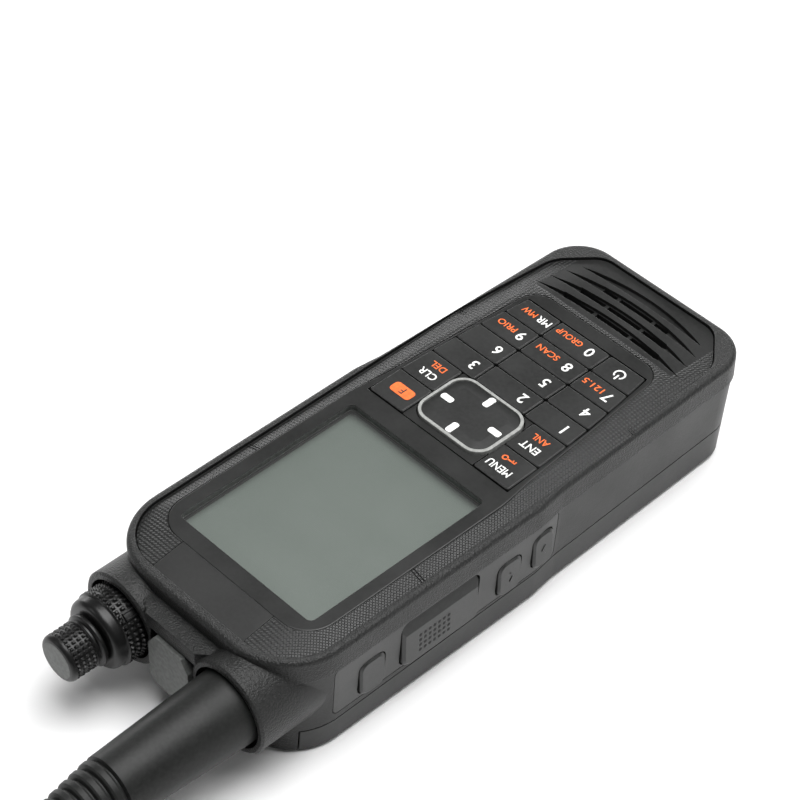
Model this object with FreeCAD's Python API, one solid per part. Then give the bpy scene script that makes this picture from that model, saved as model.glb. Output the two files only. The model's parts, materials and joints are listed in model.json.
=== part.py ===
import FreeCAD, Part
import math
import os

# Handheld aviation radio, lying on its back.
# +Z points out of the face, +Y towards the antenna, +X to the right seen from the front.
# The origin is on the flat back face of the battery, midway between the sides. Millimetres.

V = FreeCAD.Vector

# ---- Casing ----
BODY_HALF_WIDTH = 29.35      # across the key bulge, the widest stretch
WAIST_HALF_WIDTH = 28.5      # just below the key bulge
FOOT_HALF_WIDTH = 27.0       # at the bottom end
BODY_BOTTOM = -74.2
RIM_TOP = 68.4               # top end of the front rim
BULGE_FOOT = -5.0            # lower end of the key bulge
WAIST_Y = -12.0
TOP_CORNER = 16.0
FOOT_CORNER = 10.0
SIDE_CORNER = 8.0
RIM_Z = 30.3                 # crest of the outer rim
RIM_FOOT_Z = 24.0            # lower edge of the rim, where the smooth side wall starts
RIM_ROUND = 1.3
STEP_INSET = 0.4             # the side wall stands back under the rim
BACK_INSET = 2.0             # and leans in by this much at the back
BACK_CHAMFER = 1.2
CAVITY_BACK_INSET = 4.2
CAVITY_FRONT_INSET = 3.2
FRONT_WALL_Z = 28.2          # ledge that the textured frame lands on
TOP_WALL_IN_Y = 63.6         # inner face of the top wall

# ---- Seam between the casing and the battery ----
SEAM_Y = 55.0
SEAM_Z = 7.4
SEAM_SLOPE = 1.157           # degrees, rising towards the bottom end
SEAM_GAP = 0.3
BATTERY_TOP = 60.6           # top end of the battery

# ---- Rear chassis, contacts and screws ----
CHASSIS_LOW = 0.25           # outer and inner face of the chassis, above the seam
CHASSIS_HIGH = 2.0
CHASSIS_FIT = 0.12
KEY_RELIEF_X = -24.2         # shallow step in the chassis edge that the side keys move over
KEY_RELIEF_Y = (-1.0, 37.0)
KEY_RELIEF_Z = 9.5
SCREW_PLACES = ((23.55, 50.0), (-23.55, 50.0), (21.2, -55.0), (-21.2, -55.0))
SCREW_RADIUS = 0.8
SCREW_HEAD_RADIUS = 1.6
SCREW_HEAD_HEIGHT = 0.75
SCREW_END_Z = 22.0
SCREW_SEAT = 1.2             # thickness of chassis under a screw's head
BOSS_RADIUS = 1.8
BOSS_TOP_Z = 27.9
BOSS_FLOOR = 1.5             # solid end of a boss above its hole
BOSS_WEB = 3.4               # rib that ties each boss to the side wall
BOSS_WEB_THICKNESS = 1.6
BOSS_CLEARANCE = 0.1
CONTACT_HALF_WIDTH = 9.0
CONTACT_Y = (40.0, 50.0)
CONTACT_COLUMNS = (-5.5, 0.0, 5.5)

# ---- Face: textured frame, smooth panel, name plate, loudspeaker grille ----
PANEL_Z = 31.0               # smooth panel around display and keys
PANEL_FOOT_Z = 29.3
PANEL_EDGE = 0.3
PANEL_FIT = 0.05
PANEL_LEDGE = 1.3            # width of the ledge that carries the panel
PANEL_TOP_Y = 57.3
PANEL_HALF_WIDTH = 23.8
FRAME_HALF_WIDTH = 27.2
FRAME_BOTTOM = -72.0
FRAME_EDGE_Z = 29.7          # outer edge of the sloping textured band
FRAME_FIT = 0.25
BAND_SLOPE = 21.0            # degrees, fall of the band beside the display
CREST_BOTTOM = -53.0
FRAME_SEAMS = (28.0, -35.0)  # pairs of fine lines across the band
SEAM_LINE_SPACING = 0.7
SEAM_LINE_WIDTH = 0.22
SEAM_LINE_DEPTH = 0.22
NAMEPLATE_HALF_WIDTH = 14.0
NAMEPLATE_SEAM = 0.15
NAMEPLATE_LOW = 29.0
GRILLE_ROWS = (              # (y at the middle, half length, openings as half widths from the middle)
    (-56.4, 22.2, (4.9, 5.8, 14.6)),
    (-60.3, 21.4, (4.9, 5.8, 13.2)),
    (-64.3, 20.3, (4.9, 5.8, 9.8)),
    (-68.0, 18.6, ()),
)
GROOVE_WIDTH = 2.3
GROOVE_RISE = 2.0            # the ends of a groove stand this much nearer the keys
GROOVE_DEPTH = 1.0
SLOT_WIDTH = 1.8
SLOT_CURVE_RADIUS = 122.0

# ---- Display ----
DISPLAY_WIDTH = 40.8
DISPLAY_HEIGHT = 49.2
DISPLAY_Y = 28.4
DISPLAY_CORNER = 1.4
WINDOW_Z = 29.75             # front surface of the clear window
WINDOW_BACK_Z = 28.2
WINDOW_FIT = 0.1
FLANGE_WIDTH = 1.1
LCD_Z = (24.0, 27.6)         # back and front of the liquid crystal display
LCD_OVERLAP = 0.8            # the display is this much larger than its opening
HOLDER_Z = (22.6, 28.1)
HOLDER_WALL = 0.8
HOLDER_FIT = 0.2

# ---- Keys ----
KEY_GAP = 0.28
KEY_FOOT_Z = 28.9
KEY_TOP_Z = 31.3
KEY_EDGE = 0.25
KEY_CORNER = 0.5
KEY_COLUMN = 7.6             # half width of the middle column
KEYPAD_HALF_WIDTH = 21.3     # at the top row
KEYPAD_NARROWING = 3.3       # lost on each side at the bottom row
KEY_ROWS = (-20.6, -27.5, -34.5, -41.5, -48.3)   # lines between the number rows
MENU_ROWS = (-2.0, -11.5, -20.6)                 # lines between the two rows beside the pad
KEY_NAMES = (("key_1", "key_2", "key_3"), ("key_4", "key_5", "key_6"), ("key_7", "key_8", "key_9"),
             ("key_power", "key_0", "key_memory"))
PAD_Y = -12.15
PAD_HALF_WIDTH = 10.6
PAD_HALF_HEIGHT = 8.3
PAD_CORNER = 4.5
PAD_CLEARANCE = 0.3
PAD_KEY_GAP = 0.35           # between the pad and the keys beside it
PAD_FOOT_Z = 29.3
PAD_WEB_Z = 30.4             # the ring stands on the pad's edge at this height
PAD_TOP_Z = 31.45
PAD_DOME_HEIGHT = 0.25
PAD_DOME_SLOPE = 2.6
PIVOT_RADIUS = 1.6
PIVOT_ARM = 3.2              # half length of the two crossed pins that the pad rocks on
PIVOT_ARM_RADIUS = 0.4
PIVOT_Z = 28.5
RING_WIDTH = 0.75
RING_TOP_Z = 31.65
RING_EDGE = 0.2
MAT_Z = (26.8, 27.5)         # rubber sheet under the keys
DOME_TOP_Z = 27.9
DOME_RADIUS = 2.2
PAD_DOME_RADIUS = 1.6
PAD_DOME_REACH = (6.5, 5.0)  # across and along
NUMBER_DOME_X = 14.0
MENU_DOME_X = 16.0
KEYPAD_BOARD_Z = 25.8

# ---- Side keys, all on the left wall ----
SIDE_KEYS = {                # name: (y, z, length, height) of its rounded opening
    "light_button": (43.6, 14.9, 7.6, 10.0),
    "ptt_button": (24.3, 16.4, 22.6, 13.6),
    "side_key_down": (3.9, 14.9, 7.4, 10.0),
    "side_key_up": (-6.2, 16.0, 6.6, 10.4),
}
SIDE_KEY_CORNER = 2.2
SIDE_KEY_CLEARANCE = 0.3
SIDE_KEY_FACE_X = -29.0      # outer face of the small keys
SIDE_KEY_EDGE = 0.45
KEY_REST_X = -26.0           # inner end of each side key
PANEL_SKIN = 1.3
SIDE_PANEL_Y = (-11.0, 54.0)
SIDE_PANEL_Z = (9.5, 23.8)
SIDE_PANEL_SEAM = 0.15
SIDE_PANEL_CORNER = 1.5
TALK_FACE_X = -29.2
TALK_EDGE = 0.6
TALK_SLOPE_FOOT_Z = 19.4     # the slanted upper face starts here
TALK_SLOPE_TOP = (-27.3, 23.4)
DIMPLE_PITCH = (1.35, 1.5)   # along the key and across it
DIMPLE_COUNT = (7, 4)
DIMPLE_MIDDLE = (26.5, 15.0)
DIMPLE_RADIUS = 0.62
DIMPLE_CENTRE_X = -29.55

# ---- Antenna and its socket ----
ANTENNA_X = -17.0
ANTENNA_Z = 17.8
ANTENNA_RADIUS = 8.68
ANTENNA_TAPER = 0.04         # radius lost for each millimetre of length
ANTENNA_FOOT_Y = 67.1
SLEEVE_RADIUS = 11.1
SLEEVE_LIP = 0.5
SLEEVE_ROOT_Y = 56.0
SLEEVE_FLOOR_Y = 66.4        # bottom of the sleeves, outer face of the top wall
MOUTH_Y = 73.0               # mouths of the antenna and knob sleeves
ANTENNA_BORE = 9.6
ROOF_Z = (22.8, 26.4)        # roof between the two sleeves
CONNECTOR_THREAD = 4.75
CONNECTOR_BARREL = 4.8
CONNECTOR_BORE = 3.4
CONNECTOR_FLANGE = 6.4
CONNECTOR_Y = (60.6, 76.0)
CONTACT_PIN_RADIUS = 0.9
STUD_RADIUS = 0.9
STUD_REACH = 5.9
STUD_Y = 74.0
SOCKET_RADIUS = 7.2          # plug inside the antenna's rubber foot
SOCKET_END = 80.0
RING_COUNT = 6               # strain relief rings
RING_PITCH = 2.75
RING_STEP = 0.42             # radius lost from ring to ring
RING_START = 103.4
WHIP_RADIUS = 4.3
WHIP_START = RING_START + RING_COUNT * RING_PITCH + 2.0
TIP_START = 246.0
ANTENNA_END = 252.0

# ---- Knobs ----
KNOB_X = 16.6
KNOB_Z = 17.0
KNOB_BORE = 9.5
BUSHING_RADIUS = 4.0
DIAL_RADIUS = 8.7
DIAL_SHAFT = 3.0
VOLUME_SHAFT = 1.5
VOLUME_SHAFT_END = 87.0
RUNNING_GAP = 0.05
ENCODER_HALF = 5.5
ENCODER_BACK_Y = 54.0

# ---- Accessory jacks and their cover ----
COVER_HALF_WIDTH = 6.3
COVER_Z = (7.8, 22.4)
COVER_Y = (67.9, 74.0)
COVER_CORNER = 0.6
HINGE_Y = 68.2               # bead along the lower edge of the cover, which it swings about
HINGE_Z = 8.4
HINGE_RADIUS = 0.5
HINGE_HALF_LENGTH = 3.9
JACK_Z = 14.6
JACK_BLOCK_WIDTH = 11.0
JACK_BLOCK_HEIGHT = 8.6
JACK_HOLES = ((-2.8, 1.78, 54.5), (2.9, 1.28, 56.5))   # (x, radius, y of the bottom)

# ---- Boards and loudspeaker ----
BOARD_Z = (19.0, 20.4)
BOARD_COMPONENTS = (         # (x, y, width, length, height) on the main board
    (-12, 38, 12, 12, 1.4), (10, 36, 9, 7, 1.2), (-10, 8, 10, 10, 1.4), (12, 6, 6, 12, 1.8),
    (0, -22, 14, 8, 1.6), (14, -30, 5, 5, 2.4),
)
SHIELD_LOW = 14.0
SHIELD_WALL = 0.4
SHIELD_SIZE = (36.0, 60.0)
SHIELD_Y = 10.0
SPEAKER_Y = -61.2
CLOTH_Z = (27.6, 28.1)
SWITCH_BOARD_X = (-23.6, -22.8)
MICROPHONE_PLACE = (16.8, -51.95)

# ---- Battery ----
BATTERY_WALL = 1.4
LID_THICKNESS = 1.2
LID_FIT = 0.05
CELL_Z = (1.6, 5.9)
CELL_WIDTH = 44.0
CELL_SPANS = ((-66.0, -28.5), (-27.5, 9.5))
CLIP_PLACES = ((0.0, 36.0), (0.0, 14.0))
CLIP_INSERT_RADIUS = 2.3
CLIP_HOLE_RADIUS = 1.25
CLIP_INSERT_TOP = 4.2
CLIP_BOSS_WALL = 1.0
CLIP_BOSS_TOP = 5.0
LATCH_HALF_WIDTH = 9.0
LATCH_Z = (2.6, 6.2)
LATCH_Y = (-72.8, -70.5)
LATCH_TRAVEL = 1.5
LATCH_CLEARANCE = 0.3
LATCH_WALL = 1.3
RAIL_SLOT_X = 27.0           # slots in the battery's edges near the bottom end
RAIL_SLOT_Y = (-65.5, -51.0)
RAIL_SLOT_Z = (5.2, 6.2)

# Ranges that reach past the whole object, for cutting
ALL_X = (-60.0, 60.0)
ALL_Y = (-100.0, 100.0)
ALL_Z = (-40.0, 40.0)
LEFT_X = (-40.0, -20.0)      # past the left wall, from outside to inside
OVER_FACE_Z = PANEL_Z + 1.0
UNDER_FACE_Z = 20.0


# ---- Outline and solid helpers ----
def rounded_outline(corners, z):
    """Closed wire at height z. Each corner is (x, y, radius)."""
    points = [V(x, y, z) for x, y, _ in corners]
    count = len(corners)
    starts, middles, ends = [], [], []
    for i in range(count):
        back = (points[i - 1] - points[i]).normalize()
        ahead = (points[(i + 1) % count] - points[i]).normalize()
        half = back.getAngle(ahead) / 2
        radius = corners[i][2]
        reach = radius / math.tan(half)
        starts.append(points[i] + back * reach)
        ends.append(points[i] + ahead * reach)
        bisector = (back + ahead).normalize()
        middles.append(points[i] + bisector * (radius / math.sin(half) - radius))
    edges = []
    for i in range(count):
        if corners[i][2] > 0:
            edges.append(Part.Arc(starts[i], middles[i], ends[i]).toShape())
        edges.append(Part.makeLine(ends[i], starts[(i + 1) % count]))
    return Part.Wire(edges)


def plate(corners, low, high):
    return Part.Face(rounded_outline(corners, low)).extrude(V(0, 0, high - low))


def tapered(low_corners, low, high_corners, high):
    wires = [rounded_outline(low_corners, low), rounded_outline(high_corners, high)]
    return Part.makeLoft(wires, True, True)


def end_plate(corners, low, high):
    """Outline given in X and Z, standing between two values of Y."""
    shape = plate(corners, -high, -low)
    shape.rotate(V(0, 0, 0), V(1, 0, 0), 90)
    return shape


def side_plate(corners, low, high):
    """Outline given in Y and Z, standing between two values of X."""
    shape = plate(corners, low, high)
    shape.rotate(V(0, 0, 0), V(1, 1, 1), 120)
    return shape


def rectangle(x, y, width, height, radius):
    right, left = x + width / 2, x - width / 2
    low, high = y - height / 2, y + height / 2
    return [(right, low, radius), (right, high, radius), (left, high, radius), (left, low, radius)]


def mirrored(right_side):
    """Whole outline from its right half, which is listed from the bottom end to the top."""
    return right_side + [(-x, y, radius) for x, y, radius in reversed(right_side)]


def on_side(corners, side):
    """Outline of the right side as it is, or reflected to the left with its direction kept."""
    return corners if side > 0 else [(-x, y, radius) for x, y, radius in reversed(corners)]


def block(x_range, y_range, z_range):
    size = [high - low for low, high in (x_range, y_range, z_range)]
    return Part.makeBox(*size, V(x_range[0], y_range[0], z_range[0]))


def centred(middle, half):
    return (middle - half, middle + half)


def grown(span, margin):
    return (span[0] - margin, span[1] + margin)


def rod_x(y, z, radius, low, high):
    return Part.makeCylinder(radius, high - low, V(low, y, z), V(1, 0, 0))


def rod_y(x, z, radius, low, high):
    return Part.makeCylinder(radius, high - low, V(x, low, z), V(0, 1, 0))


def rod_z(x, y, radius, low, high):
    return Part.makeCylinder(radius, high - low, V(x, y, low), V(0, 0, 1))


def antenna_rod(radius, low, high):
    return rod_y(ANTENNA_X, ANTENNA_Z, radius, low, high)


def knob_rod(radius, low, high):
    return rod_y(KNOB_X, KNOB_Z, radius, low, high)


def turned(x, z, profile):
    """Solid of revolution about a line parallel to Y. The profile is a list of (y, radius)."""
    points = [V(x, profile[0][0], z)]
    points += [V(x + radius, y, z) for y, radius in profile]
    points += [V(x, profile[-1][0], z), points[0]]
    face = Part.Face(Part.makePolygon(points))
    return face.revolve(V(x, 0, z), V(0, 1, 0), 360)


def edges_at(solid, z):
    """Edges that lie wholly at height z."""
    slack = 0.01
    return [edge for edge in solid.Edges
            if abs(edge.BoundBox.ZMin - z) < slack and abs(edge.BoundBox.ZMax - z) < slack]


def softened(solid, size, z):
    """Round the edges at height z."""
    return solid.makeFillet(size, edges_at(solid, z))


def bevelled(solid, size, z):
    """Slope the edges at height z."""
    return solid.makeChamfer(size, edges_at(solid, z))


def joined(solids):
    return solids[0].fuse(solids[1:]).removeSplitter()


# ---- Outlines ----
def casing_outline(inset):
    right = [
        (FOOT_HALF_WIDTH - inset, BODY_BOTTOM + inset, FOOT_CORNER - inset),
        (WAIST_HALF_WIDTH - inset, WAIST_Y, SIDE_CORNER),
        (BODY_HALF_WIDTH - inset, BULGE_FOOT, SIDE_CORNER),
        (BODY_HALF_WIDTH - inset, RIM_TOP - inset, TOP_CORNER - inset),
    ]
    return mirrored(right)


def frame_outline(inset):
    """Textured frame: straight beside the display, narrowing round the loudspeaker."""
    right = [
        (16.8 - inset / 2, FRAME_BOTTOM + inset, 6.0),
        (24.6 - inset, FRAME_BOTTOM + 9.0 + inset / 2, 9.0),
        (FRAME_HALF_WIDTH - inset, -34.0, 30.0),
        (FRAME_HALF_WIDTH - inset, RIM_TOP - 2.9 - inset, 12.6 - inset / 2),
    ]
    return mirrored(right)


def frame_crest():
    """Inner edge of the sloping band, in step with the corners of the frame's outline."""
    right = [
        (15.8, CREST_BOTTOM, 4.5),
        (20.8, CREST_BOTTOM + 3.0, 6.0),
        (22.9, -20.0, 30.0),
        (PANEL_HALF_WIDTH, PANEL_TOP_Y, 7.5),
    ]
    return mirrored(right)


def panel_outline(inset):
    """Smooth panel around the display and the keys."""
    right = [
        (19.4 - inset, -52.3 + inset, 5.5),
        (22.6 - inset, -8.0, 20.0),
        (PANEL_HALF_WIDTH - inset, 1.0, 20.0),
        (PANEL_HALF_WIDTH - inset, PANEL_TOP_Y - inset, 7.5),
    ]
    return mirrored(right)


def key_edge_x(y):
    """Outer edge of the keypad, which narrows slowly towards the bottom end."""
    run = (MENU_ROWS[0] - y) / (MENU_ROWS[0] - KEY_ROWS[-1])
    return KEYPAD_HALF_WIDTH - KEYPAD_NARROWING * run ** 2


def keypad_outline(margin):
    """Outline round all the keys."""
    top = MENU_ROWS[0] + margin
    bottom = KEY_ROWS[-1] - margin
    middle = KEY_ROWS[1]
    right = [(key_edge_x(y) + margin, y, 0) for y in (bottom, middle, top)]
    return mirrored(right)


def display_outline(margin, radius):
    return rectangle(0, DISPLAY_Y, DISPLAY_WIDTH + 2 * margin, DISPLAY_HEIGHT + 2 * margin, radius)


def pad_outline(inset):
    half_width, half_height = PAD_HALF_WIDTH - inset, PAD_HALF_HEIGHT - inset
    return rectangle(0, PAD_Y, 2 * half_width, 2 * half_height, PAD_CORNER - inset)


def side_opening(name, margin):
    y, z, length, height = SIDE_KEYS[name]
    return rectangle(y, z, length + 2 * margin, height + 2 * margin, SIDE_KEY_CORNER + margin)


# ---- Seam heights ----
def seam_z(y):
    return SEAM_Z + (SEAM_Y - y) * math.tan(math.radians(SEAM_SLOPE))


def chassis_top(y):
    """Height of the chassis plate's inner face."""
    return seam_z(y) + CHASSIS_HIGH


def screw_seat(y):
    """Height of the counterbore's floor under a screw's head."""
    return seam_z(y) + SCREW_SEAT


# ---- Casing ----
def side_walls(inset):
    """Smooth side walls, leaning in from the rim's foot to the chamfer at the back."""
    low, high = casing_outline(BACK_INSET + inset), casing_outline(STEP_INSET + inset)
    return tapered(low, BACK_CHAMFER, high, RIM_FOOT_Z)


def back_edge():
    low, high = casing_outline(BACK_INSET + BACK_CHAMFER), casing_outline(BACK_INSET)
    return tapered(low, 0, high, BACK_CHAMFER)


def outer_body():
    """Whole outside of radio and battery together."""
    rim = softened(plate(casing_outline(0), RIM_FOOT_Z, RIM_Z), RIM_ROUND, RIM_Z)
    return joined([back_edge(), side_walls(0), rim])


def below_seam(offset):
    """Everything behind the slanted seam, with the seam moved towards the face by offset."""
    reach = 150.0
    depth = 60.0
    slab = block((-reach, reach), (SEAM_Y - 2 * reach, SEAM_Y + reach), (SEAM_Z + offset - depth, SEAM_Z + offset))
    slab.rotate(V(0, SEAM_Y, SEAM_Z), V(1, 0, 0), -SEAM_SLOPE)
    return slab


def battery_space(offset, top_end):
    """Where the battery sits, up to its top end."""
    return below_seam(offset).common(block(ALL_X, (ALL_Y[0], top_end), ALL_Z))


def cavity(extra):
    """Hollow of the casing. A positive extra makes it smaller."""
    low = casing_outline(CAVITY_BACK_INSET + extra)
    high = casing_outline(CAVITY_FRONT_INSET + extra)
    whole = tapered(low, 0, high, FRONT_WALL_Z)
    return whole.common(block(ALL_X, (ALL_Y[0], TOP_WALL_IN_Y - extra), ALL_Z))


def sleeves():
    """Sleeves round the antenna foot and the knobs, and the roof between them."""
    shapes = []
    for x, z in ((ANTENNA_X, ANTENNA_Z), (KNOB_X, KNOB_Z)):
        profile = [
            (SLEEVE_ROOT_Y, SLEEVE_RADIUS),
            (MOUTH_Y - SLEEVE_LIP, SLEEVE_RADIUS),
            (MOUTH_Y, SLEEVE_RADIUS - SLEEVE_LIP),
        ]
        shapes.append(turned(x, z, profile))
    roof_right = [(12.8, SLEEVE_ROOT_Y, 0), (12.8, RIM_TOP, 0), (7.6, MOUTH_Y, 0)]
    shapes.append(plate(mirrored(roof_right), *ROOF_Z))
    return shapes


def side_skin(margin):
    """Skin of the left wall that the rubber key panel fills. Margin widens it all round."""
    skin = side_walls(0).cut(side_walls(PANEL_SKIN + margin))
    (y_low, y_high), (z_low, z_high) = grown(SIDE_PANEL_Y, margin), grown(SIDE_PANEL_Z, margin)
    y, z = (y_low + y_high) / 2, (z_low + z_high) / 2
    outline = rectangle(y, z, y_high - y_low, z_high - z_low, SIDE_PANEL_CORNER)
    return skin.common(side_plate(outline, *LEFT_X))


def top_end_openings():
    """Everything cut through or into the top wall for the antenna, the knobs and the jacks."""
    pocket = 0.3
    inner_y = TOP_WALL_IN_Y - 1
    outer_y = SLEEVE_FLOOR_Y + 1
    jack_outline = rectangle(0, JACK_Z, JACK_BLOCK_WIDTH, JACK_BLOCK_HEIGHT, 1.0)
    return [
        antenna_rod(CONNECTOR_FLANGE + pocket, SLEEVE_ROOT_Y, TOP_WALL_IN_Y),
        encoder_housing(pocket).common(block(ALL_X, (0, TOP_WALL_IN_Y), ALL_Z)),
        antenna_rod(ANTENNA_BORE, SLEEVE_FLOOR_Y, MOUTH_Y + 1),
        knob_rod(KNOB_BORE, SLEEVE_FLOOR_Y, MOUTH_Y + 1),
        antenna_rod(CONNECTOR_THREAD, inner_y, outer_y),
        knob_rod(BUSHING_RADIUS, inner_y, outer_y),
        block(centred(0, COVER_HALF_WIDTH + 0.3), (COVER_Y[0] - 0.5, MOUTH_Y + 2), (COVER_Z[0] - 0.6, ROOF_Z[0])),
        end_plate(jack_outline, inner_y, COVER_Y[0]),
    ]


def screw_boss(x, y):
    """Boss for one screw, with the rib that ties it to the side wall."""
    low = chassis_top(y) + BOSS_CLEARANCE
    post = rod_z(x, y, BOSS_RADIUS, low, BOSS_TOP_Z)
    wall_x = x + math.copysign(BOSS_WEB, x)
    web = block((min(x, wall_x), max(x, wall_x)), centred(y, BOSS_WEB_THICKNESS / 2), (low, BOSS_TOP_Z))
    return [post, web]


def front_case():
    """Moulded case: rim, side walls, top end with its sleeves, and the screw bosses."""
    shell = joined([outer_body()] + sleeves())
    shell = shell.cut(battery_space(SEAM_GAP / 2, BATTERY_TOP + SEAM_GAP)).cut(cavity(0))
    body = joined([shell] + [solid for place in SCREW_PLACES for solid in screw_boss(*place)])
    openings = [plate(frame_outline(-FRAME_FIT), FRONT_WALL_Z, OVER_FACE_Z), side_skin(SIDE_PANEL_SEAM)]
    openings += top_end_openings()
    openings += [side_plate(side_opening(name, 0), *LEFT_X) for name in SIDE_KEYS]
    openings += [rod_z(x, y, SCREW_RADIUS, SEAM_Z, BOSS_TOP_Z - BOSS_FLOOR) for x, y in SCREW_PLACES]
    for opening in openings:
        body = body.cut(opening)
    return body


def rear_chassis():
    """Die-cast plate that closes the case behind the boards. The battery lies on it."""
    slab = below_seam(CHASSIS_HIGH).cut(below_seam(CHASSIS_LOW))
    body = cavity(CHASSIS_FIT).common(slab)
    for x, y in SCREW_PLACES:
        body = body.cut(rod_z(x, y, SCREW_RADIUS + 0.15, 0, UNDER_FACE_Z))
        body = body.cut(rod_z(x, y, SCREW_HEAD_RADIUS + 0.2, 0, screw_seat(y)))
    body = body.cut(block((ALL_X[0], KEY_RELIEF_X), KEY_RELIEF_Y, (KEY_RELIEF_Z, UNDER_FACE_Z)))
    return body.cut(block(centred(0, CONTACT_HALF_WIDTH), CONTACT_Y, (0, UNDER_FACE_Z)))


# ---- Textured frame, blank name plate and smooth panel ----
def frame_blank():
    base = plate(frame_outline(0), FRONT_WALL_Z, FRAME_EDGE_Z)
    slope = tapered(frame_outline(0), FRAME_EDGE_Z, frame_crest(), PANEL_Z)
    return joined([base, slope])


def crescent(y, half_length, low):
    """Groove with pointed ends, open towards the face. Its ends stand higher than its middle."""
    left, right = V(-half_length, y + GROOVE_RISE, low), V(half_length, y + GROOVE_RISE, low)
    lower = Part.Arc(left, V(0, y - GROOVE_WIDTH / 2, low), right).toShape()
    upper = Part.Arc(right, V(0, y + GROOVE_WIDTH / 2, low), left).toShape()
    return Part.Face(Part.Wire([lower, upper])).extrude(V(0, 0, OVER_FACE_Z - low))


def grille_slot(y, x_range):
    """Slot right through the frame that follows the groove's curve."""
    centre_y = y + SLOT_CURVE_RADIUS
    depth = (FRONT_WALL_Z - 1, OVER_FACE_Z)
    band = rod_z(0, centre_y, SLOT_CURVE_RADIUS + SLOT_WIDTH / 2, *depth)
    band = band.cut(rod_z(0, centre_y, SLOT_CURVE_RADIUS - SLOT_WIDTH / 2, *depth))
    return band.common(block(x_range, (ALL_Y[0], y + GROOVE_RISE + SLOT_WIDTH), ALL_Z))


def grille_surface_z(y):
    """Height of the frame's sloping surface below the keys."""
    share = (y - CREST_BOTTOM) / (FRAME_BOTTOM - CREST_BOTTOM)
    return PANEL_Z + (FRAME_EDGE_Z - PANEL_Z) * share


def band_seam(side, y):
    """Pair of fine lines across the sloping band."""
    lines = []
    for line_y in centred(y, SEAM_LINE_SPACING / 2):
        line = block((22.9, 29.0), centred(line_y, SEAM_LINE_WIDTH / 2), (PANEL_Z - SEAM_LINE_DEPTH, PANEL_Z + 2))
        line.rotate(V(23.4, 0, PANEL_Z), V(0, 1, 0), BAND_SLOPE)
        lines.append(line)
    pair = joined(lines)
    return pair if side > 0 else pair.mirror(V(0, 0, 0), V(1, 0, 0))


def nameplate_space(margin):
    half = NAMEPLATE_HALF_WIDTH + margin
    return block((-half, half), (PANEL_TOP_Y - 0.5, RIM_TOP), (NAMEPLATE_LOW - margin, ALL_Z[1]))


def bezel_frame():
    body = frame_blank()
    openings = [
        plate(panel_outline(0), PANEL_FOOT_Z, OVER_FACE_Z),
        plate(panel_outline(PANEL_LEDGE), UNDER_FACE_Z, OVER_FACE_Z),
        plate(keypad_outline(KEY_GAP), UNDER_FACE_Z, OVER_FACE_Z),
        plate(window_flange_outline(HOLDER_FIT), UNDER_FACE_Z, PANEL_FOOT_Z),
        nameplate_space(NAMEPLATE_SEAM),
    ]
    for y, half_length, widths in GRILLE_ROWS:
        openings.append(crescent(y, half_length, grille_surface_z(y) - GROOVE_DEPTH))
        if widths:
            middle, rib, far = widths
            openings += [grille_slot(y, x_range) for x_range in ((-far, -rib), (-middle, middle), (rib, far))]
    openings += [band_seam(side, y) for y in FRAME_SEAMS for side in (-1, 1)]
    for opening in openings:
        body = body.cut(opening)
    return body


def nameplate():
    """Plain smooth plate let into the top of the frame."""
    band = frame_blank().cut(plate(panel_outline(0), 0, OVER_FACE_Z))
    return band.common(nameplate_space(0))


def front_panel():
    body = softened(plate(panel_outline(PANEL_FIT), PANEL_FOOT_Z, PANEL_Z), PANEL_EDGE, PANEL_Z)
    body = body.cut(plate(display_outline(0, DISPLAY_CORNER), UNDER_FACE_Z, OVER_FACE_Z))
    return body.cut(plate(keypad_outline(KEY_GAP), UNDER_FACE_Z, OVER_FACE_Z))


# ---- Display ----
def window_flange_outline(margin):
    return display_outline(FLANGE_WIDTH + margin, DISPLAY_CORNER)


def display_window():
    lens = plate(display_outline(-WINDOW_FIT / 2, DISPLAY_CORNER), WINDOW_BACK_Z, WINDOW_Z)
    flange = plate(window_flange_outline(0), WINDOW_BACK_Z, PANEL_FOOT_Z)
    return joined([lens, flange])


def lcd_module():
    return plate(display_outline(LCD_OVERLAP / 2, 1.0), *LCD_Z)


def lcd_holder():
    """Tray that holds the display module and keeps light in."""
    inner = LCD_OVERLAP / 2 + HOLDER_FIT / 2
    tray = plate(display_outline(inner + HOLDER_WALL, 1.6), *HOLDER_Z)
    return tray.cut(plate(display_outline(inner, 1.1), LCD_Z[0], ALL_Z[1]))


# ---- Keys ----
def key_cap(corners):
    return bevelled(plate(corners, KEY_FOOT_Z, KEY_TOP_Z), KEY_EDGE, KEY_TOP_Z)


def row_span(rows, row):
    """Lower and upper edge of the keys in one row."""
    return rows[row + 1] + KEY_GAP / 2, rows[row] - KEY_GAP / 2


def outer_key(side, inner_x, rows, row):
    """Key whose outer edge follows the side of the keypad."""
    bottom, top = row_span(rows, row)
    places = [(inner_x, bottom), (key_edge_x(bottom), bottom), (key_edge_x(top), top), (inner_x, top)]
    return key_cap(on_side([(x, y, KEY_CORNER) for x, y in places], side))


def middle_key(row):
    bottom, top = row_span(KEY_ROWS, row)
    return key_cap(rectangle(0, (bottom + top) / 2, 2 * KEY_COLUMN - KEY_GAP, top - bottom, KEY_CORNER))


def number_keys():
    keys = {}
    for row, names in enumerate(KEY_NAMES):
        for side, name in zip((-1, 0, 1), names):
            keys[name] = outer_key(side, KEY_COLUMN + KEY_GAP / 2, KEY_ROWS, row) if side else middle_key(row)
    return keys


def menu_key(side, row):
    """Key beside the direction pad."""
    return outer_key(side, PAD_HALF_WIDTH + PAD_KEY_GAP, MENU_ROWS, row)


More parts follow.
